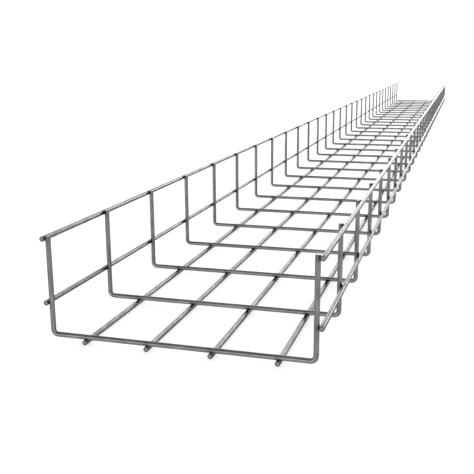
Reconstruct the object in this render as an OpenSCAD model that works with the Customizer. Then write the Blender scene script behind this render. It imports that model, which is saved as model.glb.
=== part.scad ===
// Wire mesh cable basket: a length of open cable tray made from welded steel wire.
//
// A flat sheet of resistance-welded mesh is folded up into a channel.  The cross wires run
// across the sheet, so the fold bends each of them into a U.  The long wires run straight
// along the basket, welded to the outside of the U, four below the floor and two up each side.
//
// Z is up and Y runs along the basket.  The origin is at the middle of the length and of the
// width, on the floor that the lowest wires rest on.

/* [Basket] */
// Clear width between the legs of a cross wire
inner_width = 200; // [100:50:400]
// Clear depth from the floor of the basket up to its open top
inner_depth = 75; // [50:5:150]
// Number of mesh bays along the basket, which has one more cross wire than that
bays = 30; // [4:1:40]

/* [Mesh] */
// Spacing of the cross wires, along the basket
cross_pitch = 100; // [50:10:150]
// Spacing of the long wires across the floor
floor_pitch = 50; // [30:5:100]
// Spacing of the long wires up each side, counted down from the rim wire
side_pitch = 50; // [30:5:100]

/* [Wire] */
// Diameter of the cross wires
cross_d = 4; // [3:0.5:6]
// Diameter of the long wires
long_d = 4; // [3:0.5:6]
// Inside radius of the two bends in a cross wire
bend_r = 2; // [1:0.5:12]
// How far the electrodes press two crossing wires into each other
weld_sink = 0.1; // [0.05:0.05:0.8]
// How far the long wires run on past the middle of the last cross wire
end_stub = 2.5; // [2.5:0.5:25]

/* [Hidden] */
$fn = 48;

// A cut reaches this far past the surface that it opens.
margin = 1;

// From the middle of a cross wire to the middle of a long wire welded to its outside
weld_gap = (cross_d + long_d) / 2 - weld_sink;
// Middle of the bent wire's own radius
bend_axis_r = bend_r + cross_d / 2;

// Heights of the wires' middles above the ground, from the floor wires up
floor_wire_z = long_d / 2;
cross_floor_z = floor_wire_z + weld_gap;
top_z = cross_floor_z + cross_d / 2 + inner_depth;
rim_wire_z = top_z - long_d / 2;

// Places across the basket: a leg of a cross wire, and a long wire welded outside it
leg_x = (inner_width + cross_d) / 2;
side_wire_x = leg_x + weld_gap;

// A long wire keeps half its thickness clear of the bend, on the floor and on the sides.
flat_half = leg_x - bend_axis_r - long_d / 2;
flat_height = rim_wire_z - cross_floor_z - bend_axis_r - long_d / 2;
floor_wires = 2 * floor((flat_half + floor_pitch / 2) / floor_pitch);
side_rows = 1 + max(0, floor(flat_height / side_pitch));

cross_wires = bays + 1;
mesh_length = bays * cross_pitch;
long_length = mesh_length + 2 * end_stub;

// Middle of cross wire i along the basket, of floor wire i across it, and of side row i in height
function cross_y(i) = i * cross_pitch - mesh_length / 2;
function floor_x(i) = (i - (floor_wires - 1) / 2) * floor_pitch;
function side_z(i) = rim_wire_z - i * side_pitch;

// Names of the pieces, with the cross wires counted from the -Y end
function two_digits(i) = i < 10 ? str("0", i) : str(i);
function cross_name(i) = str("cross_wire_", two_digits(i + 1));
function floor_name(i) = str("floor_wire_", i + 1);
function side_name(hand, i) = i == 0 ? str(hand, "_rim_wire") : str(hand, "_side_wire_", i);

// Each side's name and its sign along X
SIDES = [["left", -1], ["right", 1]];

CROSS_COLOUR = [0.47, 0.48, 0.49];
LONG_COLOUR = [0.72, 0.73, 0.74];

// A straight wire along Y, through (x, z)
module long_wire(x, z) {
    translate([x, 0, z])
        rotate([90, 0, 0])
            cylinder(h = long_length, d = long_d, center = true);
}

module floor_wire(i) {
    color(LONG_COLOUR) long_wire(floor_x(i), floor_wire_z);
}

module side_wire(side, i) {
    color(LONG_COLOUR) long_wire(side * side_wire_x, side_z(i));
}

// One bend and the leg that rises from it, on the +X side
module bend_and_leg() {
    translate([leg_x - bend_axis_r, 0, cross_floor_z + bend_axis_r]) {
        rotate([90, 0, 0])
            rotate_extrude(angle = -90)
                translate([bend_axis_r, 0])
                    circle(d = cross_d);
        translate([bend_axis_r, 0, 0])
            cylinder(h = top_z - cross_floor_z - bend_axis_r, d = cross_d);
    }
}

// The U of wire: a floor run between two bends, and a leg above each
module bent_wire() {
    translate([0, 0, cross_floor_z])
        rotate([0, 90, 0])
            cylinder(h = 2 * (leg_x - bend_axis_r), d = cross_d, center = true);
    bend_and_leg();
    mirror([1, 0, 0]) bend_and_leg();
}

// The seats that the long wires press into a cross wire, one at each weld
module weld_seats() {
    seat_length = cross_d + 2 * margin;
    for (i = [0:floor_wires - 1])
        translate([floor_x(i), 0, floor_wire_z])
            rotate([90, 0, 0])
                cylinder(h = seat_length, d = long_d, center = true);
    for (side = SIDES, i = [0:side_rows - 1])
        translate([side[1] * side_wire_x, 0, side_z(i)])
            rotate([90, 0, 0])
                cylinder(h = seat_length, d = long_d, center = true);
}

module cross_wire(i) {
    color(CROSS_COLOUR)
        translate([0, cross_y(i), 0])
            difference() {
                bent_wire();
                weld_seats();
            }
}

for (i = [0:cross_wires - 1])
    cross_wire(i);
for (i = [0:floor_wires - 1])
    floor_wire(i);
for (side = SIDES, i = [0:side_rows - 1])
    side_wire(side[1], i);
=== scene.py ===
# %% [markdown]
# # A wire mesh cable basket
#
# A cable basket is an open channel of steel wire that carries cables along a ceiling or a wall.
# The mill welds straight wires into a flat mesh, folds the mesh up on both sides and plates it
# with zinc.  So the whole object is one thing over and over: a 4 mm wire, round and slightly
# shiny, and a small weld wherever two of them cross.
#
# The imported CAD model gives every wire's place.  Its meshes are coarse, because a long wire is a
# big thing beside its own thickness, so here each wire is made again, round and smooth, exactly
# where the CAD one lies.

# %% Load the frame
import math
import random

import bpy
from mathutils import Matrix, Vector


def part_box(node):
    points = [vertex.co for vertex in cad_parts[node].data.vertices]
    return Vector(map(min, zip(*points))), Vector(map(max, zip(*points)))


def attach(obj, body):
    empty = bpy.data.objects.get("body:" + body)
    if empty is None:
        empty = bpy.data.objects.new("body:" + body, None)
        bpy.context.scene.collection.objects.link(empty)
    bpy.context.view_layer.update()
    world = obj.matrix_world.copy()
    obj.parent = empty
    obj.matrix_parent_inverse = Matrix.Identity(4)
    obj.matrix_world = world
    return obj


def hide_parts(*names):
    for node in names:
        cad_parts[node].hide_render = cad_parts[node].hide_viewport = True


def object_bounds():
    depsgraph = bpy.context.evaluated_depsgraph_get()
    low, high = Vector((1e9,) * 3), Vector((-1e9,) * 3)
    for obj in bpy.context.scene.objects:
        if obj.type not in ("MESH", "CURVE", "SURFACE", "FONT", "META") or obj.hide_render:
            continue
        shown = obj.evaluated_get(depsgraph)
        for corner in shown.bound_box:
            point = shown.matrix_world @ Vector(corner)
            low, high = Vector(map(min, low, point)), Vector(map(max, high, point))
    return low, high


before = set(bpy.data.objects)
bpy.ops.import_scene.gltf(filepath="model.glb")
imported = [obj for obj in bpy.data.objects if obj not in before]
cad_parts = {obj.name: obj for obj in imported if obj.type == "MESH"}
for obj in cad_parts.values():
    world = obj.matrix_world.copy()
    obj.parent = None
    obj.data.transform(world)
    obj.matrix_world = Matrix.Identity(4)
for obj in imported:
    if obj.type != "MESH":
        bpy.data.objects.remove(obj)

MM = 0.001
cad_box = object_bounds()
node_names = sorted(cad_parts)
print("nodes in the frame:", len(node_names))

# %% [markdown]
# ## Reading the wires' sizes
#
# Nothing is measured twice.  The CAD pieces' names sort the wires into those that run across and
# those that run along, and each one's box gives its thickness and its place.  The sizes could be
# typed in again, but then a change in the CAD model would leave this script behind.  Only the
# radius of the bends can't be read from a box, so it is the one size written here.

# %% Sort the wires and read their sizes
BEND_INNER_RADIUS = 2 * MM

cross_names = [n for n in node_names if n.startswith("cross_wire")]
long_names = [n for n in node_names if not n.startswith("cross_wire")]


def middle(name):
    """The middle of a CAD piece's box."""
    low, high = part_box(name)
    return (low + high) / 2


first_low, first_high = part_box(cross_names[0])
WIRE_R = (first_high.y - first_low.y) / 2
GIRTH = 2 * math.pi * WIRE_R
LEG_X = first_high.x - WIRE_R
FLOOR_Z = first_low.z + WIRE_R
TOP_Z = first_high.z
BEND_R = BEND_INNER_RADIUS + WIRE_R
CROSS_Y = [middle(n).y for n in cross_names]
LONG_AT = {n: (middle(n).x, middle(n).z) for n in long_names}
LONG_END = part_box(long_names[0])[1].y
print(f"wire {2 * WIRE_R / MM:.2f} mm thick, {len(cross_names)} across and {len(long_names)} along,",
      f"the cross wires {(CROSS_Y[1] - CROSS_Y[0]) / MM:.1f} mm apart")

# %% [markdown]
# ## Where the welds are
#
# Every long wire crosses every cross wire on its outside, and each crossing is one weld.  A weld
# is kept as its centre, half way between the two wires' middles, and the direction from the long
# wire to the cross wire: up under the floor, inward at the sides.  The centres could be found by
# cutting the meshes with each other, but the wires are straight there, so a sum does it.

# %% Find the welds
ALONG_BASKET = Vector((0, 1, 0))


def inward(name):
    """The direction from a long wire to the cross wires that it is welded to."""
    x, z = LONG_AT[name]
    if z < FLOOR_Z:
        return Vector((0, 0, 1))
    return Vector((-math.copysign(1, x), 0, 0))


def gap_between(name):
    """How far apart the middles of a long wire and of the cross wires are."""
    x, z = LONG_AT[name]
    return FLOOR_Z - z if z < FLOOR_Z else abs(x) - LEG_X


def weld_centre(name, y):
    """The middle of the weld between a long wire and the cross wire at y."""
    x, z = LONG_AT[name]
    return Vector((x, y, z)) + inward(name) * gap_between(name) / 2


print("welds:", len(cross_names) * len(long_names),
      "wire middles", [round(gap_between(n) / MM, 2) for n in long_names], "mm apart")

# %% [markdown]
# ## One wire, from a list of rings
#
# A wire is a tube swept along a path.  A Blender curve with a round bevel could be one, but a
# mesh in code gives three things that a curve doesn't: rings that crowd together only near the
# welds, where the finish changes; a map that suits so long a strip; and the wire's straightened
# coordinates.  Those are the place that each point had before the wire was bent, and drawing
# lines that follow them run round the bends.
#
# The first step is the list of rings.  A straight wire needs none between its ends for its shape,
# but the distance to the nearest weld is stored at the rings, so they stand close together there.

# %% Stations along a wire
CHAMFER = 0.35 * MM
NEAR_WELD = [0.6 * MM, 1.2 * MM, 1.8 * MM, 2.4 * MM, 3.2 * MM, 4.5 * MM, 7 * MM]
CLOSEST_RINGS = 0.1 * MM


def stations(length, welds, others):
    """Places along a wire where it gets a ring: its ends, each weld and both sides of it."""
    places = {0, CHAMFER, length - CHAMFER, length, *others}
    for w in welds:
        places |= {w} | {w + d for d in NEAR_WELD} | {w - d for d in NEAR_WELD}
    kept = []
    for place in sorted(p for p in places if 0 <= p <= length):
        if not kept or place - kept[-1] > CLOSEST_RINGS:
            kept.append(place)
    kept[-1] = length
    return kept


print("rings at one weld:", 2 * len(NEAR_WELD) + 1)

# %% [markdown]
# ## A map for a very long strip
#
# Unrolled, a long wire is a strip three metres long and 13 mm wide.  Blender's UV map, from which
# the finish can be baked into a picture, is square, and such a strip would fill a thin line of
# it.  So the strip is cut into rows, as text is on a page, with a gap between them.  The spare
# room after the last row takes the cut ends and the flash of the welds.  Blender's own unwrapping
# could pack the faces too, but it scatters them, and rows keep neighbours together.

# %% Lay a long strip out in rows
MAP_NAME = "OFBake"
ROW_GAP = 1.2 * MM
ROW_INDENT = 0.01
ROW_WITH_MARGIN = 1.02
END_ROOM = 2.4 * WIRE_R


class Rows:
    """A square map on which a strip lies cut into rows, with spare room after the last one."""

    def __init__(self, length, spare):
        # pitch is from one row to the next, and side is the width of the whole square.
        self.pitch = GIRTH + ROW_GAP
        self.count = max(1, round(math.sqrt(length / self.pitch)))
        self.row = length / self.count
        self.side = max(self.row * ROW_WITH_MARGIN, self.count * self.pitch + spare)
        self.spare_from = self.count * self.pitch

    def row_of(self, s):
        """The row that holds the place s along the strip."""
        return min(self.count - 1, max(0, int(s / self.row)))

    def place(self, row, s, around):
        """The map's coordinates of a point s along the strip and around across it."""
        return ((s - row * self.row + ROW_INDENT * self.row) / self.side,
                (row * self.pitch + around + ROW_GAP / 2) / self.side)

    def spare_place(self, x, y):
        """The map's coordinates of a point in the spare room."""
        return (x / self.side, (self.spare_from + y) / self.side)


print("rows for a long wire:", Rows(2 * LONG_END, END_ROOM).count)

# %% [markdown]
# ## Collecting a wire's faces
#
# A cross wire's mesh is a tube with two cut ends, and a long wire's also has the flash of its
# welds.  Each part adds its points and faces to one collector, which then makes one mesh.
# Separate objects could be joined later, but then the three finishes and the stored values would
# have to be matched up again.

# %% Collect points and faces
SLOT_WIRE, SLOT_CUT, SLOT_WELD = 0, 1, 2
NOISE_SHIFT = 40


class WireMesh:
    """Collects the points and faces of one wire, with the values that its finish reads."""

    def __init__(self, name, seed):
        self.name = name
        self.points, self.faces = [], []
        self.straight, self.from_weld = [], []
        self.uvs, self.slots = [], []
        self.shift = random.Random(seed).uniform(0, NOISE_SHIFT)

    def add_point(self, at, straight, from_weld):
        """Adds a point, with its place on the straightened wire, and gives back its number."""
        self.points.append(at)
        self.straight.append((straight[0], straight[1], straight[2] + self.shift))
        self.from_weld.append(from_weld)
        return len(self.points) - 1

    def add_face(self, corners, uvs, slot):
        """Adds a face whose corners come clockwise as seen from outside, so it is turned over."""
        self.faces.append(tuple(corners[::-1]))
        self.uvs.append(tuple(uvs[::-1]))
        self.slots.append(slot)


print("finishes on a wire: plated", SLOT_WIRE, "cut", SLOT_CUT, "weld", SLOT_WELD)

# %% [markdown]
# ## From lists to a Blender mesh
#
# from_pydata turns the lists of points and faces into a mesh.  The map goes on the corners of
# the faces, because a point at the end of a row lies in two places on the map.  The other two
# values go on the points, as attributes.  Colours could carry them too, but an attribute holds
# plain numbers of any size, and the finish can read it by its name.

# %% Build a wire's mesh
POINT_VALUES = {"straight": "FLOAT_VECTOR", "from_weld": "FLOAT"}


def build_mesh(wire, materials):
    """A new object from the points, faces and values that a WireMesh has collected."""
    mesh = bpy.data.meshes.new(wire.name)
    mesh.from_pydata([tuple(p) for p in wire.points], [], wire.faces)
    layer = mesh.uv_layers.new(name=MAP_NAME)
    layer.uv.foreach_set("vector", [c for uvs in wire.uvs for uv in uvs for c in uv])
    for name, kind in POINT_VALUES.items():
        mesh.attributes.new(name, kind, "POINT")
    mesh.attributes["straight"].data.foreach_set("vector", [c for at in wire.straight for c in at])
    mesh.attributes["from_weld"].data.foreach_set("value", wire.from_weld)
    for material in materials:
        mesh.materials.append(material)
    mesh.polygons.foreach_set("material_index", wire.slots)
    mesh.polygons.foreach_set("use_smooth", [True] * len(wire.faces))
    mesh.update()
    piece = bpy.data.objects.new(wire.name, mesh)
    bpy.context.scene.collection.objects.link(piece)
    return piece


print("values stored at each point:", list(POINT_VALUES))

# %% [markdown]
# ## Sweeping the tube
#
# At each station the path gives the wire's middle and two directions across it, and a ring of
# points stands round that middle.  Neighbouring rings are joined by flat faces that are shaded
# smooth.  The first and last rings are a little smaller, which rounds the rim of the cut end.
# Extruding a circle by hand would give the same tube, but a long wire has hundreds of rings, and
# a loop puts each one exactly where it belongs.

# %% Rings round a path
SIDES = 28
FAR_FROM_WELD = 20 * MM
# Welds farther than this from a ring's middle aren't measured.
WELD_REACH = 25 * MM


def angle_of(k, count):
    """The angle of point k on a circle of count points."""
    return 2 * math.pi * k / count


def nearest(point, welds):
    """The distance to the nearest weld, but never more than FAR_FROM_WELD."""
    return min([(point - w).length for w in welds] + [FAR_FROM_WELD])


def ring_at(wire, path, s, radius, welds):
    """Adds a ring of points round the wire's middle at s along its path."""
    centre, across, out = path(s)
    near = [w for w in welds if (w - centre).length < WELD_REACH]
    ring = []
    for k in range(SIDES):
        angle = angle_of(k, SIDES)
        x, y = radius * math.cos(angle), radius * math.sin(angle)
        at = centre + across * x + out * y
        ring.append(wire.add_point(at, (x, y, s), nearest(at, near)))
    return ring


print(f"a ring has {SIDES} sides, each {GIRTH / SIDES / MM:.2f} mm wide")

# %% Sweep a wire
def sweep(wire, path, places, welds, rows):
    """Adds a tube, and gives back its first and last ring.

    path(s) gives the middle of the wire and the two directions across it at s along it.
    """
    ends = (places[0], places[-1])
    rings = [ring_at(wire, path, s, WIRE_R - (CHAMFER if s in ends else 0), welds) for s in places]
    for i in range(len(places) - 1):
        s0, s1 = places[i], places[i + 1]
        row = rows.row_of((s0 + s1) / 2)
        for k in range(SIDES):
            after = (k + 1) % SIDES
            a0, a1 = GIRTH * k / SIDES, GIRTH * (k + 1) / SIDES
            corners = (rings[i][k], rings[i][after], rings[i + 1][after], rings[i + 1][k])
            uvs = (rows.place(row, s0, a0), rows.place(row, s0, a1),
                   rows.place(row, s1, a1), rows.place(row, s1, a0))
            wire.add_face(corners, uvs, SLOT_WIRE)
    return rings[0], rings[-1]


print("faces between two rings:", SIDES)

# %% [markdown]
# ## Cut ends
#
# The wire is sheared, not sawn.  A shear leaves a face that is nearly flat, a little rounded at
# the rim and rough where the steel tore.  One flat face could close the tube, but it would catch
# the light all over or not at all.  So two rings inside the rim are set back by up to about a
# tenth of a millimetre, at random, and they catch it unevenly.

# %% Rings on a cut end
END_R = WIRE_R - CHAMFER
END_RINGS = (0.66, 0.33)
TORN_DEPTH = 0.12 * MM
TORN_LEAST = 0.25
TORN_REACH = 1.1


def end_ring(wire, path, s, along, share, rng):
    """Adds a ring of points inside the rim of an end, each set back into the wire at random."""
    centre, across, out = path(s)
    ring = []
    for k in range(SIDES):
        angle = angle_of(k, SIDES)
        x, y = share * END_R * math.cos(angle), share * END_R * math.sin(angle)
        torn = TORN_LEAST + (1 - TORN_LEAST) * rng.random()
        depth = TORN_DEPTH * torn * (TORN_REACH - share)
        at = centre + across * x + out * y + along * depth
        ring.append(wire.add_point(at, (x, y, s), FAR_FROM_WELD))
    return ring


print("rings on a cut end:", len(END_RINGS),
      f"set back by up to {TORN_DEPTH * (TORN_REACH - END_RINGS[-1]) / MM:.2f} mm")

# %% Close a wire's end
TIP_DEPTH = 0.5 * TORN_DEPTH


def close_end(wire, rim, path, s, inside, rows, corner, rng):
    """Fills the rim of an end with rings and a middle point. inside is +1 or -1 along the wire."""
    centre = path(s)[0]
    along = (path(s + inside * MM)[0] - centre).normalized()

    def map_place(share, angle):
        return rows.spare_place(corner + WIRE_R + share * END_R * math.cos(angle),
                                WIRE_R + share * END_R * math.sin(angle))

    def add_face(corners, uvs):
        """Adds a face of the first end, or turns it over for the last one."""
        wire.add_face(corners[::inside], uvs[::inside], SLOT_CUT)

    outer, outer_share = rim, 1.0
    for share in END_RINGS:
        inner = end_ring(wire, path, s, along, share, rng)
        for k in range(SIDES):
            after = (k + 1) % SIDES
            a0, a1 = angle_of(k, SIDES), angle_of(k + 1, SIDES)
            add_face((outer[k], inner[k], inner[after], outer[after]),
                     (map_place(outer_share, a0), map_place(share, a0),
                      map_place(share, a1), map_place(outer_share, a1)))
        outer, outer_share = inner, share
    tip = wire.add_point(centre + along * TIP_DEPTH, (0, 0, s), FAR_FROM_WELD)
    for k in range(SIDES):
        after = (k + 1) % SIDES
        a0, a1 = angle_of(k, SIDES), angle_of(k + 1, SIDES)
        add_face((outer[k], tip, outer[after]),
                 (map_place(outer_share, a0), map_place(0, a0), map_place(outer_share, a1)))


print("faces on a cut end:", SIDES * (len(END_RINGS) + 1))

# %% [markdown]
# ## Weld flash
#
# A resistance weld has no bead.  Two electrodes press the crossing wires together, a current
# melts the spot where they touch, and the pressure squeezes a little steel out all round it.
# That flash fills the narrow wedge between the two wires.
#
# A flattened ball at each crossing would be quick, but its edge would float off the wires.  This
# is a ring that stands on the long wire's surface at its foot and on the cross wire's at its
# head, so both edges come straight from the two cylinders' own equations.  A few waves with
# random phases make it uneven, and its hidden foot and head are closed inside the wires.

# %% The shape of the flash
FLASH_SIDES, FLASH_STEPS = 24, 5
FLASH_WAIST = 1.15 * MM
FLASH_FLARE = 0.32 * MM
FLASH_FLARE_POWER = 2.2
FLASH_WIDEST = 0.97 * WIRE_R
FLASH_UNEVEN = 0.08 * MM
FLASH_WAVES = (2, 3, 5, 7)
WEAKEST_WAVE = 0.3
FLASH_SINK = 0.12 * MM


def flash_surface(centre, directions, gap):
    """A function of radius, angle and height share that gives a point of one weld's flash."""
    toward_cross, along_long, along_cross = directions

    def surface(radius, angle, share):
        a, b = radius * math.cos(angle), radius * math.sin(angle)
        foot = -gap / 2 + math.sqrt(max(WIRE_R ** 2 - a * a, 0)) - FLASH_SINK
        head = gap / 2 - math.sqrt(max(WIRE_R ** 2 - b * b, 0)) + FLASH_SINK
        height = foot + (head - foot) * share
        return centre + along_cross * a + along_long * b + toward_cross * height
    return surface


def uneven_outline(rng):
    """A function of the angle that makes one weld's outline uneven."""
    waves = [(n, rng.uniform(0, 2 * math.pi), rng.uniform(WEAKEST_WAVE, 1) / n) for n in FLASH_WAVES]

    def uneven(angle):
        return FLASH_UNEVEN * sum(a * math.sin(n * angle + p) for n, p, a in waves)
    return uneven


print(f"flash about {2 * FLASH_WAIST / MM:.1f} mm across, {FLASH_SINK / MM:.2f} mm into each wire")

# %% Rings of one weld's flash
def add_flash_point(wire, at, from_weld):
    """Flash isn't bent with the wire, so its noise reads the plain place, along the basket last."""
    return wire.add_point(at, (at.x, at.z, at.y), from_weld)


def flash_rings(wire, centre, surface, uneven):
    """Adds rings of points from the foot, on the long wire, to the head, on the cross wire."""
    rings = []
    for j in range(FLASH_STEPS + 1):
        share = j / FLASH_STEPS
        flare = FLASH_FLARE * abs(2 * share - 1) ** FLASH_FLARE_POWER
        ring = []
        for k in range(FLASH_SIDES):
            angle = angle_of(k, FLASH_SIDES)
            radius = min(FLASH_WAIST + flare + uneven(angle), FLASH_WIDEST)
            at = surface(radius, angle, share)
            ring.append(add_flash_point(wire, at, (at - centre).length))
        rings.append(ring)
    return rings


print("rings in one weld's flash:", FLASH_STEPS + 1, "of", FLASH_SIDES, "points")

# %% Faces of one weld's flash
STRIP_WIDTH = 2 * math.pi * FLASH_WAIST
STRIP_HEIGHT = 1.2 * MM
CAP_HEIGHT = 0.15 * MM


def add_flash(wire, centre, directions, gap, rows, corner, rng):
    """Adds a closed ring of flash. The three directions are at right angles to each other."""
    uneven = uneven_outline(rng)
    surface = flash_surface(centre, directions, gap)
    rings = flash_rings(wire, centre, surface, uneven)

    def strip_place(k, y):
        return rows.spare_place(corner[0] + STRIP_WIDTH * k / FLASH_SIDES, y)

    for j in range(FLASH_STEPS):
        y0 = corner[1] + STRIP_HEIGHT * j / FLASH_STEPS
        y1 = corner[1] + STRIP_HEIGHT * (j + 1) / FLASH_STEPS
        for k in range(FLASH_SIDES):
            after = (k + 1) % FLASH_SIDES
            wire.add_face((rings[j][k], rings[j][after], rings[j + 1][after], rings[j + 1][k]),
                          (strip_place(k, y0), strip_place(k + 1, y0),
                           strip_place(k + 1, y1), strip_place(k, y1)), SLOT_WELD)
    for ring, share, way in ((rings[0], 0, -1), (rings[-1], 1, 1)):
        tip = add_flash_point(wire, surface(0, 0, share), 0)
        edge_y = corner[1] + STRIP_HEIGHT * share
        tip_place = strip_place(0, edge_y + way * CAP_HEIGHT)
        for k in range(FLASH_SIDES):
            after = (k + 1) % FLASH_SIDES
            corners = (ring[k], ring[after], tip)
            uvs = (strip_place(k, edge_y), strip_place(k + 1, edge_y), tip_place)
            wire.add_face(corners[::way], uvs[::way], SLOT_WELD)


print("faces on one weld's flash:", FLASH_SIDES * (FLASH_STEPS + 2))

# %% [markdown]
# ## Finishes from nodes
#
# A finish in Blender is a tree of nodes that ends in a Principled shader.  The trees could be put
# together by hand in the node editor, but thirty nodes are easier to read as lines, and a line
# can carry a name.  Most of these helpers make one node and give back its output.

# %% Helpers for nodes
def new_material(name):
    """A new material, its node tree and its Principled shader."""
    material = bpy.data.materials.new(name)
    material.use_nodes = True
    tree = material.node_tree
    return material, tree, tree.nodes["Principled BSDF"]


def feed(tree, socket, value):
    """Links a socket to another node's output, or sets it to a plain value."""
    if isinstance(value, bpy.types.NodeSocket):
        tree.links.new(value, socket)
    else:
        socket.default_value = value


def node(tree, kind, inputs=None, **settings):
    """A new node, with its settings made and its inputs fed."""
    made = tree.nodes.new(kind)
    for key, value in settings.items():
        setattr(made, key, value)
    for key, value in (inputs or {}).items():
        feed(tree, made.inputs[key], value)
    return made


def arithmetic(tree, operation, first, second):
    return node(tree, "ShaderNodeMath", {0: first, 1: second}, operation=operation).outputs[0]


def stored(tree, name, output):
    """A value that the mesh carries at its points."""
    return node(tree, "ShaderNodeAttribute", attribute_name=name).outputs[output]


print("helpers:", [f.__name__ for f in (new_material, feed, node, arithmetic, stored)])

# %% Helpers for noise and colour
# The Mix node has sockets for each kind of value, and these are the colour ones.
MIX_FACTOR, MIX_FIRST, MIX_SECOND, MIX_RESULT = 0, 6, 7, 2


def noise(tree, vector, scale, detail, rough):
    """Noise with about scale waves a metre, and detail finer layers, each rough times as strong."""
    return node(tree, "ShaderNodeTexNoise",
                {"Vector": vector, "Scale": scale, "Detail": detail, "Roughness": rough}).outputs["Fac"]


def squeezed(tree, vector, scale):
    """Coordinates scaled on each axis, so that noise turns into lines along the shortened one."""
    return node(tree, "ShaderNodeMapping", {"Vector": vector, "Scale": scale}).outputs["Vector"]


def ramp(tree, value, stops):
    """A colour that runs through stops, which are places from 0 to 1, each with its colour."""
    made = node(tree, "ShaderNodeValToRGB", {"Fac": value})
    elements = made.color_ramp.elements
    while len(elements) < len(stops):
        elements.new(0.5)
    for element, (place, colour) in zip(elements, stops):
        element.position = place
        element.color = (*colour, 1)
    return made.outputs["Color"]


def grey(level):
    return (level, level, level)


def rescale(tree, value, low, high, new_low=0.0, new_high=1.0):
    """Maps the range from low to high onto another, and holds it there."""
    return node(tree, "ShaderNodeMapRange",
                {"Value": value, "From Min": low, "From Max": high, "To Min": new_low, "To Max": new_high}
                ).outputs["Result"]


def mix(tree, factor, first, second):
    """A colour between first, at factor 0, and second, at factor 1."""
    made = node(tree, "ShaderNodeMix", data_type="RGBA")
    for number, value in ((MIX_FACTOR, factor), (MIX_FIRST, first), (MIX_SECOND, second)):
        feed(tree, made.inputs[number], value)
    return made.outputs[MIX_RESULT]


def add_bump(tree, shader, height, strength, distance):
    bump = node(tree, "ShaderNodeBump", {"Height": height, "Strength": strength, "Distance": distance})
    feed(tree, shader.inputs["Normal"], bump.outputs["Normal"])


print("helpers:", [f.__name__ for f in (noise, squeezed, ramp, grey, rescale, mix, add_bump)])

# %% [markdown]
# ## The zinc finish
#
# Electroplated wire is steel that was drawn through dies, so it carries fine lines along its
# length, and the thin zinc over them is a soft grey, a little cloudy.  Near a weld the heat has
# dulled it, and the zinc is darker there: partly a heat mark, partly painted shade for the
# crevice where the two wires cross.
#
# A picture could be wrapped round the wire, but all thirty-nine would then wear the same one.
# Here it all comes from noise that reads the straightened coordinates: squeezed along the wire
# for the drawing lines, nearly round for the clouds.  The from_weld value, the distance to the
# nearest weld, turns on the darkening there, a heat mark and painted crevice shade together.

# %% The zinc's numbers
ZINC_DARK = (0.135, 0.136, 0.138)
ZINC_MID = (0.195, 0.197, 0.199)
ZINC_LIGHT = (0.285, 0.288, 0.292)
ZINC_STOPS = [(0.32, ZINC_DARK), (0.50, ZINC_MID), (0.70, ZINC_LIGHT)]
# Near a weld: a heat mark, darkened further as painted shade for the crevice between the crossing wires
HEAT_MARK_AND_SHADE = (0.060, 0.058, 0.056, 1)
# Bare metal turns white where it is seen edge-on, and dull plating much less so.
EDGE_TINT = (0.35, 0.35, 0.35, 1)
# Each noise's scale, detail and roughness, and how two of them are squeezed along the wire
CLOUDS, CLOUD_SQUEEZE = (260, 4, 0.55), (1, 1, 0.35)
LINES, LINE_SQUEEZE = (1900, 3, 0.65), (1, 1, 0.012)
GRAIN = (2600, 2, 0.55)
LINES_IN_COLOUR, GRAIN_IN_BUMP = 0.45, 0.35
# Distances from a weld's centre: all heat mark and painted shade, none left, and how ragged its edge is
HEAT_AND_SHADE_FULL, HEAT_AND_SHADE_NONE, HEAT_AND_SHADE_RAGGED = 2.2 * MM, 5.6 * MM, 1.5 * MM
HEAT_AND_SHADE_IN_COLOUR, HEAT_IN_ROUGHNESS = 0.75, 0.4
# The range of the noise, and the roughness at each end of it
ZINC_ROUGHNESS = (0.3, 1.0, 0.14, 0.36)
# Strength, and the depth of the relief
ZINC_BUMP = (0.22, 0.05 * MM)
print(f"heat marks fade out by {HEAT_AND_SHADE_NONE / MM:.1f} mm from a weld")

# %% Zinc-plated wire
def zinc_wire():
    material, tree, shader = new_material("zinc_plated_wire")
    straight = stored(tree, "straight", "Vector")
    clouds = noise(tree, squeezed(tree, straight, CLOUD_SQUEEZE), *CLOUDS)
    lines = noise(tree, squeezed(tree, straight, LINE_SQUEEZE), *LINES)
    grain = noise(tree, straight, *GRAIN)
    cloudy = mix(tree, LINES_IN_COLOUR, clouds, lines)
    ragged = arithmetic(tree, "MULTIPLY", clouds, HEAT_AND_SHADE_RAGGED)
    from_weld = arithmetic(tree, "ADD", stored(tree, "from_weld", "Fac"), ragged)
    heat_and_shade = rescale(tree, from_weld, HEAT_AND_SHADE_FULL, HEAT_AND_SHADE_NONE, 1.0, 0.0)
    darkened_by_heat_and_shade = arithmetic(tree, "MULTIPLY", heat_and_shade, HEAT_AND_SHADE_IN_COLOUR)
    dulled = arithmetic(tree, "ADD", cloudy, arithmetic(tree, "MULTIPLY", heat_and_shade, HEAT_IN_ROUGHNESS))
    # Painted shade: near each weld the zinc darkens, partly as a heat mark, partly as the crevice's shade.
    colour = mix(tree, darkened_by_heat_and_shade, ramp(tree, cloudy, ZINC_STOPS), HEAT_MARK_AND_SHADE)
    feed(tree, shader.inputs["Base Color"], colour)
    feed(tree, shader.inputs["Metallic"], 1.0)
    feed(tree, shader.inputs["Roughness"], rescale(tree, dulled, *ZINC_ROUGHNESS))
    feed(tree, shader.inputs["Specular Tint"], EDGE_TINT)
    relief = arithmetic(tree, "ADD", lines, arithmetic(tree, "MULTIPLY", grain, GRAIN_IN_BUMP))
    add_bump(tree, shader, relief, *ZINC_BUMP)
    return material


plated = zinc_wire()
print(plated.name, "has", len(plated.node_tree.nodes), "nodes")

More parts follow.
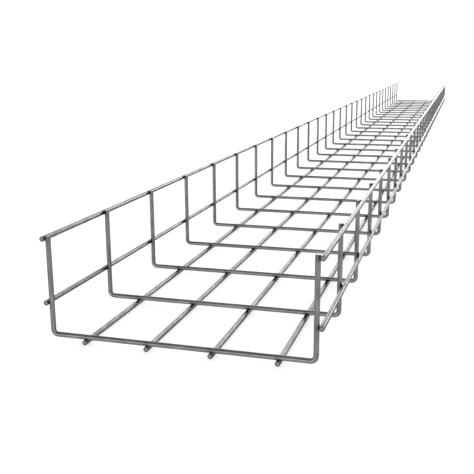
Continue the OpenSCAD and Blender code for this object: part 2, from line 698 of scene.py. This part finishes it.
# %% [markdown]
# ## The cut face and the flash
#
# A sheared face is bare steel.  Its torn middle is lighter and scored, and its rim, which the
# blade rolled over, is dark.  Flash is steel that has been molten, with a dull crust, and it is
# made nearly black: partly its own scale, partly painted shade for the wedge between the wires,
# where little light reaches.  Both could share the zinc, but then the bare ends, which stand out
# on a real basket, and the dark welds would be lost.  So each has a finish of its own.

# %% Cut end
# Each noise's scale, detail and roughness, and how the scores are squeezed into lines
TORN, SCORES, SCORE_SQUEEZE = (1500, 4, 0.7), (3000, 2, 0.55), (1, 0.08, 1)
SCORES_IN_COLOUR = 0.4
TORN_STOPS = [(0.30, grey(0.08)), (0.5, grey(0.24)), (0.70, grey(0.50))]
ROLLED_STEEL = (0.045, 0.045, 0.046, 1)
# Distances from the middle of the face: where the dark rim starts, where it is full, how ragged
ROLLED_FROM, ROLLED_FULL, ROLLED_RAGGED = 1.3 * MM, 2.0 * MM, 0.8 * MM
TORN_ROUGHNESS, TORN_BUMP = (0.2, 0.8, 0.38, 0.6), (0.5, 0.1 * MM)


def cut_end():
    material, tree, shader = new_material("sheared_end")
    straight = stored(tree, "straight", "Vector")
    torn = noise(tree, straight, *TORN)
    scored = noise(tree, squeezed(tree, straight, SCORE_SQUEEZE), *SCORES)
    across = node(tree, "ShaderNodeVectorMath", {0: straight, 1: (1, 1, 0)}, operation="MULTIPLY").outputs[0]
    from_middle = node(tree, "ShaderNodeVectorMath", {0: across}, operation="LENGTH").outputs["Value"]
    ragged = arithmetic(tree, "ADD", from_middle, arithmetic(tree, "MULTIPLY", torn, ROLLED_RAGGED))
    rolled = rescale(tree, ragged, ROLLED_FROM, ROLLED_FULL)
    colour = ramp(tree, mix(tree, SCORES_IN_COLOUR, torn, scored), TORN_STOPS)
    feed(tree, shader.inputs["Base Color"], mix(tree, rolled, colour, ROLLED_STEEL))
    feed(tree, shader.inputs["Metallic"], 1.0)
    feed(tree, shader.inputs["Roughness"], rescale(tree, torn, *TORN_ROUGHNESS))
    add_bump(tree, shader, torn, *TORN_BUMP)
    return material


sheared = cut_end()
print(sheared.name, "has", len(sheared.node_tree.nodes), "nodes")

# %% Weld flash
CRUST = (1300, 4, 0.65)
# Nearly black: the flash's own scale, with painted shade for the crevice between the wires
FLASH_AND_SHADE_STOPS = [(0.3, (0.012, 0.012, 0.011)), (0.55, (0.035, 0.034, 0.033)), (0.8, grey(0.12))]
CRUST_ROUGHNESS, CRUST_BUMP = (0.2, 0.8, 0.62, 0.42), (0.6, 0.15 * MM)


def weld_flash_and_shade():
    material, tree, shader = new_material("weld_flash_and_shade")
    crust = noise(tree, stored(tree, "straight", "Vector"), *CRUST)
    feed(tree, shader.inputs["Base Color"], ramp(tree, crust, FLASH_AND_SHADE_STOPS))
    feed(tree, shader.inputs["Metallic"], 1.0)
    feed(tree, shader.inputs["Roughness"], rescale(tree, crust, *CRUST_ROUGHNESS))
    add_bump(tree, shader, crust, *CRUST_BUMP)
    return material


MATERIALS = [plated, sheared, weld_flash_and_shade()]
print("materials, in the order of the slots:", [m.name for m in MATERIALS])

# %% [markdown]
# ## The cross wires
#
# Each cross wire is a U.  Its path goes down the left leg, round a bend, along under the cables
# and back up.  The legs, bends and run could be separate tubes, but their seams would show.  So
# one function gives the middle of the wire and the way across it anywhere on the path, and the
# right half is the left one mirrored.  Thirty-one wires are made by one loop, each with its own
# shift in the noise, so that no two have the same clouds.

# %% The path of a cross wire
LEG = TOP_Z - FLOOR_Z - BEND_R
BEND = BEND_R * math.pi / 2
RUN = 2 * (LEG_X - BEND_R)
U_LENGTH = 2 * (LEG + BEND) + RUN


def u_path(y):
    """The path of the cross wire at y, as a function of the place s along it."""
    def path(s):
        mirrored = s > U_LENGTH / 2
        t = U_LENGTH - s if mirrored else s
        if t <= LEG:
            x, z, out_x, out_z = -LEG_X, TOP_Z - t, -1.0, 0.0
        elif t <= LEG + BEND:
            turn = (t - LEG) / BEND_R
            x = -LEG_X + BEND_R - BEND_R * math.cos(turn)
            z = FLOOR_Z + BEND_R - BEND_R * math.sin(turn)
            out_x, out_z = -math.cos(turn), -math.sin(turn)
        else:
            x, z, out_x, out_z = -LEG_X + BEND_R + (t - LEG - BEND), FLOOR_Z, 0.0, -1.0
        if mirrored:
            x, out_x = -x, -out_x
        return Vector((x, y, z)), ALONG_BASKET, Vector((out_x, 0, out_z))
    return path


def place_on_u(name):
    """How far along a cross wire a long wire crosses it."""
    x, z = LONG_AT[name]
    if z < FLOOR_Z:
        return LEG + BEND + x + LEG_X - BEND_R
    return TOP_Z - z if x < 0 else U_LENGTH - (TOP_Z - z)


print(f"leg {LEG / MM:.1f} mm, bend {BEND / MM:.1f} mm, run {RUN / MM:.1f} mm, in all {U_LENGTH / MM:.0f} mm")

# %% Make the cross wires
CROSS_SEED, CROSS_NOISE_SEED = 1000, 100
BEND_STEPS = 14
bend_places = [start + BEND * k / BEND_STEPS
               for start in (LEG, LEG + BEND + RUN) for k in range(BEND_STEPS + 1)]
u_stations = stations(U_LENGTH, [place_on_u(n) for n in long_names], bend_places)


def finish_wire(wire, name):
    """Builds a wire's mesh, ties it to the basket and puts it in the place of its CAD piece."""
    piece = build_mesh(wire, MATERIALS)
    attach(piece, "root")
    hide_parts(name)
    return piece


def make_cross_wire(number, name, y):
    rng = random.Random(CROSS_SEED + number)
    wire = WireMesh("wire_" + name, CROSS_NOISE_SEED + number)
    rows = Rows(U_LENGTH, END_ROOM)
    path = u_path(y)
    welds = [weld_centre(n, y) for n in long_names]
    first, last = sweep(wire, path, u_stations, welds, rows)
    close_end(wire, first, path, 0, 1, rows, 0, rng)
    close_end(wire, last, path, U_LENGTH, -1, rows, END_ROOM, rng)
    return finish_wire(wire, name)


cross_pieces = [make_cross_wire(i, n, y) for i, (n, y) in enumerate(zip(cross_names, CROSS_Y))]
print("cross wires:", len(cross_pieces), "of", len(cross_pieces[0].data.polygons), "faces each")

# %% [markdown]
# ## The long wires
#
# A long wire is the same sweep on a straight path.  It also carries the flash of its own
# thirty-one welds.  Either of the two wires at a crossing could have it, and a long wire has it
# here, so that each weld is made once.

# %% Make the long wires
LONG_SEED, LONG_NOISE_SEED = 2000, 200
FLASH_ROOM = 4 * MM
FLASH_PITCH_ACROSS = STRIP_WIDTH + 0.5 * MM
FLASH_PITCH_UP = 1.6 * MM


def straight_path(x, z, outward):
    """The path of the long wire through x and z, as a function of the place s along it."""
    side = ALONG_BASKET.cross(outward)

    def path(s):
        return Vector((x, s - LONG_END, z)), side, outward
    return path


def make_long_wire(number, name):
    rng = random.Random(LONG_SEED + number)
    wire = WireMesh("wire_" + name, LONG_NOISE_SEED + number)
    length = 2 * LONG_END
    rows = Rows(length, END_ROOM + FLASH_ROOM)
    row_breaks = [k * rows.row for k in range(1, rows.count)]
    places = stations(length, [y + LONG_END for y in CROSS_Y], row_breaks)
    path = straight_path(*LONG_AT[name], -inward(name))
    welds = [weld_centre(name, y) for y in CROSS_Y]
    first, last = sweep(wire, path, places, welds, rows)
    close_end(wire, first, path, 0, 1, rows, 0, rng)
    close_end(wire, last, path, length, -1, rows, END_ROOM, rng)
    directions = (inward(name), ALONG_BASKET, inward(name).cross(ALONG_BASKET))
    per_row = int(rows.side / FLASH_PITCH_ACROSS)
    for i, centre in enumerate(welds):
        corner = (FLASH_PITCH_ACROSS * (i % per_row), END_ROOM + FLASH_PITCH_UP * (i // per_row))
        add_flash(wire, centre, directions, gap_between(name), rows, corner, rng)
    return finish_wire(wire, name)


long_pieces = [make_long_wire(i, n) for i, n in enumerate(long_names)]
print("long wires:", len(long_pieces), "of", len(long_pieces[0].data.polygons), "faces each")

# %% [markdown]
# ## The floor
#
# The basket lies on a pale studio floor that runs out to the horizon.  A stronger lamp would make
# it white, but would burn the wires out too.  So it is pale grey paint with a little light of its
# own, which only the eye, reflections and glass see.  The floor comes out white without any more
# light falling on the wires, and their soft shadow stays.

# %% Floor
FLOOR_HALF = 40.0
FLOOR_DROP = 0.05 * MM
FLOOR_PAINT = (0.55, 0.55, 0.55, 1)
FLOOR_ROUGHNESS = 0.9
FLOOR_GLOW = 0.60


def seen_directly(tree):
    """1 for rays from the eye, from a reflection or through glass, and 0 for the light itself."""
    path = node(tree, "ShaderNodeLightPath").outputs
    either = arithmetic(tree, "MAXIMUM", path["Is Camera Ray"], path["Is Glossy Ray"])
    return arithmetic(tree, "MAXIMUM", either, path["Is Transmission Ray"])


def make_floor():
    mesh = bpy.data.meshes.new("studio_floor")
    h, z = FLOOR_HALF, cad_box[0][2] - FLOOR_DROP
    mesh.from_pydata([(-h, -h, z), (h, -h, z), (h, h, z), (-h, h, z)], [], [(0, 1, 2, 3)])
    material, tree, shader = new_material("white_floor")
    feed(tree, shader.inputs["Base Color"], FLOOR_PAINT)
    feed(tree, shader.inputs["Roughness"], FLOOR_ROUGHNESS)
    feed(tree, shader.inputs["Specular IOR Level"], 0.0)
    feed(tree, shader.inputs["Emission Color"], (1, 1, 1, 1))
    glow = arithmetic(tree, "MULTIPLY", seen_directly(tree), FLOOR_GLOW)
    feed(tree, shader.inputs["Emission Strength"], glow)
    mesh.materials.append(material)
    floor = bpy.data.objects.new("studio_floor", mesh)
    bpy.context.scene.collection.objects.link(floor)
    return floor


floor = make_floor()
print("floor at", round(floor.data.vertices[0].co.z, 6), "m")

# %% [markdown]
# ## Light
#
# Bare metal shows its surroundings more than its own colour, so lighting it means arranging what
# it reflects.  The studio is white at eye level and greyer overhead.  Small lamps would make
# hard sparks on so thin a wire, so there are three wide soft boxes.  A low one beyond the far end
# lies just where the tops of the long wires reflect, and gives them their bright line.  A dimmer
# one stands above it, so that the line fades at its side, and a low one behind the camera lights
# the faces that are turned this way.

# %% World
HORIZON_WHITE = grey(1.0)
CEILING_GREY = grey(0.48)
SKY_STOPS = [(0.0, HORIZON_WHITE), (0.25, HORIZON_WHITE), (0.70, CEILING_GREY)]
# Whatever the eye sees of the world, this even grey is what lights the wires from it.
EVEN_LIGHT = (*grey(0.75), 1)


def make_world():
    world = bpy.data.worlds.new("studio")
    world.use_nodes = True
    tree = world.node_tree
    background = tree.nodes["Background"]
    direction = node(tree, "ShaderNodeTexCoord").outputs["Generated"]
    up = node(tree, "ShaderNodeSeparateXYZ", {"Vector": direction}).outputs["Z"]
    colour = mix(tree, seen_directly(tree), EVEN_LIGHT, ramp(tree, up, SKY_STOPS))
    feed(tree, background.inputs["Color"], colour)
    feed(tree, background.inputs["Strength"], 1.0)
    bpy.context.scene.world = world


make_world()
print("world:", bpy.context.scene.world.name, "with", len(SKY_STOPS), "stops from horizon to ceiling")

# %% Soft boxes
# Blender divides a lamp's power by four times its area, which gives how bright its face looks.
POWER_FOR_WHITE = 4
# Each box's name, place, what it faces, width, height and brightness
SOFT_BOXES = [
    ("far_low_box", (-0.2, 9.0, 1.9), (0, 0, 0), 11.0, 3.4, 5.0),
    ("far_high_box", (-1.0, 8.0, 5.4), (0, 0, 0), 8.0, 2.8, 2.0),
    ("near_box", (-2.5, -7.5, 0.55), (0, -1.5, 0.1), 6.0, 1.0, 2.4),
]


def soft_box(name, at, toward, width, height, brightness):
    """A lamp with a flat white face. Its brightness is how white the face looks, and 1 is white."""
    light = bpy.data.lights.new(name, "AREA")
    light.shape, light.size, light.size_y = "RECTANGLE", width, height
    light.energy = POWER_FOR_WHITE * width * height * brightness
    lamp = bpy.data.objects.new(name, light)
    lamp.location = at
    lamp.rotation_euler = (Vector(toward) - Vector(at)).to_track_quat("-Z", "Y").to_euler()
    lamp.visible_camera = False
    bpy.context.scene.collection.objects.link(lamp)


for box in SOFT_BOXES:
    soft_box(*box)

# %% [markdown]
# ## Camera
#
# The view is from just outside the right-hand corner of the near end, about 20 cm above the
# floor, along the whole three metres.  So the perspective is steep, and the near cross wire looks
# about six times as large as the last one.  A camera could be aimed with a Track To constraint,
# but that also decides its tilt.  Here its forward and right directions are written out, and the
# third one follows from them.

# %% Camera
LENS, SENSOR_WIDTH = 58.17, 36.0
CLIP_START, CLIP_END = 0.01, 200.0
CAMERA_X, CAMERA_BEFORE_END, CAMERA_Z = 0.19078, 0.49038, 0.21508
FORWARD = Vector((-0.27548554, 0.93243978, -0.23380285))
RIGHT = Vector((0.95940493, 0.28197030, -0.00591036))

camera_data = bpy.data.cameras.new("camera")
camera_data.lens, camera_data.sensor_width = LENS, SENSOR_WIDTH
camera_data.clip_start, camera_data.clip_end = CLIP_START, CLIP_END
camera = bpy.data.objects.new("camera", camera_data)
camera.location = (CAMERA_X, cad_box[0][1] - CAMERA_BEFORE_END, CAMERA_Z)
camera.rotation_euler = Matrix((RIGHT, RIGHT.cross(FORWARD), -FORWARD)).transposed().to_euler()
bpy.context.scene.collection.objects.link(camera)
bpy.context.scene.camera = camera
print("camera at", [round(c, 3) for c in camera.location])

# %% [markdown]
# ## Finish
#
# The standard view shows colours as they are written, where a film-like one would grey the white
# floor.

# %% View
bpy.context.scene.view_settings.view_transform = "Standard"
